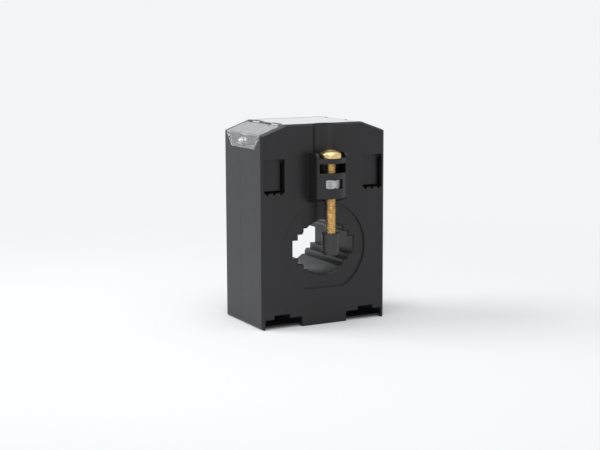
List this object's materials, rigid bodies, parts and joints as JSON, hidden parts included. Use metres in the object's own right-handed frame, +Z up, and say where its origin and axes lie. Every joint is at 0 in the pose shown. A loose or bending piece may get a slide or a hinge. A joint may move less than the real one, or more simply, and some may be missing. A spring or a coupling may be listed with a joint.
{
  "type": "current transformer",
  "caption": "Moulded-case window current transformer with a stepped busbar opening, a screw-driven clamp foot on the front, hinged clear terminal covers and screw terminals.",
  "frame": {"origin": "middle of the base, under the centre of the housing", "axes": "+Z up, -Y out of the front face that carries the clamp screw, X across the width of the housing"},
  "size_m": [0.062, 0.048, 0.09],
  "materials": {
    "housing_plastic": "black moulded plastic, satin",
    "core_steel": "tape-wound silicon steel",
    "insulation": "natural nylon",
    "winding_copper": "enamelled copper wire",
    "tape": "polyester tape",
    "lead_insulation": "insulated wire",
    "tinned_brass": "tin-plated brass",
    "clear_plastic": "clear moulded polycarbonate",
    "plate_plastic": "light grey film plate",
    "nut_steel": "zinc-plated steel",
    "zinc_steel": "zinc-plated steel",
    "yellow_steel": "yellow-passivated zinc-plated steel",
    "foot_plastic": "black moulded plastic"
  },
  "bodies": {
    "housing": {"front_shell": "housing_plastic", "rear_shell": "housing_plastic", "ring_core": "core_steel", "core_cap_front": "insulation", "core_cap_rear": "insulation", "secondary_winding": "winding_copper", "winding_tape": "tape", "lead_left": "lead_insulation", "lead_right": "lead_insulation", "contact_bar_left": "tinned_brass", "contact_bar_right": "tinned_brass", "rating_plate": "plate_plastic", "clamp_nut": "nut_steel"},
    "cover_left": {"clear_cover_left": "clear_plastic"},
    "cover_right": {"clear_cover_right": "clear_plastic"},
    "foot": {"pressure_foot": "foot_plastic"},
    "clamp_screw": {"clamp_screw": "yellow_steel"},
    "wire_clamp_left_front": {"wire_clamp_left_front": "zinc_steel"},
    "terminal_screw_left_front": {"terminal_screw_left_front": "zinc_steel"},
    "wire_clamp_left_rear": {"wire_clamp_left_rear": "zinc_steel"},
    "terminal_screw_left_rear": {"terminal_screw_left_rear": "zinc_steel"},
    "wire_clamp_right_front": {"wire_clamp_right_front": "zinc_steel"},
    "terminal_screw_right_front": {"terminal_screw_right_front": "zinc_steel"},
    "wire_clamp_right_rear": {"wire_clamp_right_rear": "zinc_steel"},
    "terminal_screw_right_rear": {"terminal_screw_right_rear": "zinc_steel"}
  },
  "joints": [
    {"name": "cover_left_hinge", "type": "hinge", "parent": "housing", "child": "cover_left", "pos_m": [-0.019, 0, 0.0887], "axis": [0, 1, 0], "range_deg": [0, 100]},
    {"name": "cover_right_hinge", "type": "hinge", "parent": "housing", "child": "cover_right", "pos_m": [0.019, 0, 0.0887], "axis": [0, -1, 0], "range_deg": [0, 100]},
    {"name": "foot_slide", "type": "slide", "parent": "housing", "child": "foot", "axis": [0, 0, 1], "range_m": [0, 0.0132]},
    {"name": "clamp_screw_turn", "type": "hinge", "parent": "foot", "child": "clamp_screw", "pos_m": [0, -0.02445, 0.05], "axis": [0, 0, 1], "range_deg": [0, 5941]},
    {"name": "wire_clamp_left_front_slide", "type": "slide", "parent": "housing", "child": "wire_clamp_left_front", "axis": [0, 0, 1], "range_m": [0, 0.0021]},
    {"name": "terminal_screw_left_front_turn", "type": "hinge", "parent": "wire_clamp_left_front", "child": "terminal_screw_left_front", "pos_m": [-0.0248, -0.009, 0.08], "axis": [0, 0, 1], "range_deg": [0, 1081]},
    {"name": "wire_clamp_left_rear_slide", "type": "slide", "parent": "housing", "child": "wire_clamp_left_rear", "axis": [0, 0, 1], "range_m": [0, 0.0021]},
    {"name": "terminal_screw_left_rear_turn", "type": "hinge", "parent": "wire_clamp_left_rear", "child": "terminal_screw_left_rear", "pos_m": [-0.0248, 0.009, 0.08], "axis": [0, 0, 1], "range_deg": [0, 1081]},
    {"name": "wire_clamp_right_front_slide", "type": "slide", "parent": "housing", "child": "wire_clamp_right_front", "axis": [0, 0, 1], "range_m": [0, 0.0021]},
    {"name": "terminal_screw_right_front_turn", "type": "hinge", "parent": "wire_clamp_right_front", "child": "terminal_screw_right_front", "pos_m": [0.0248, -0.009, 0.08], "axis": [0, 0, 1], "range_deg": [0, 1081]},
    {"name": "wire_clamp_right_rear_slide", "type": "slide", "parent": "housing", "child": "wire_clamp_right_rear", "axis": [0, 0, 1], "range_m": [0, 0.0021]},
    {"name": "terminal_screw_right_rear_turn", "type": "hinge", "parent": "wire_clamp_right_rear", "child": "terminal_screw_right_rear", "pos_m": [0.0248, 0.009, 0.08], "axis": [0, 0, 1], "range_deg": [0, 1081]}
  ],
  "couplings": [
    {"joint": "clamp_screw_turn", "follows": "foot_slide", "rad_per_m": 7854},
    {"joint": "terminal_screw_left_front_turn", "follows": "wire_clamp_left_front_slide", "rad_per_m": 8976},
    {"joint": "terminal_screw_left_rear_turn", "follows": "wire_clamp_left_rear_slide", "rad_per_m": 8976},
    {"joint": "terminal_screw_right_front_turn", "follows": "wire_clamp_right_front_slide", "rad_per_m": 8976},
    {"joint": "terminal_screw_right_rear_turn", "follows": "wire_clamp_right_rear_slide", "rad_per_m": 8976}
  ]
}
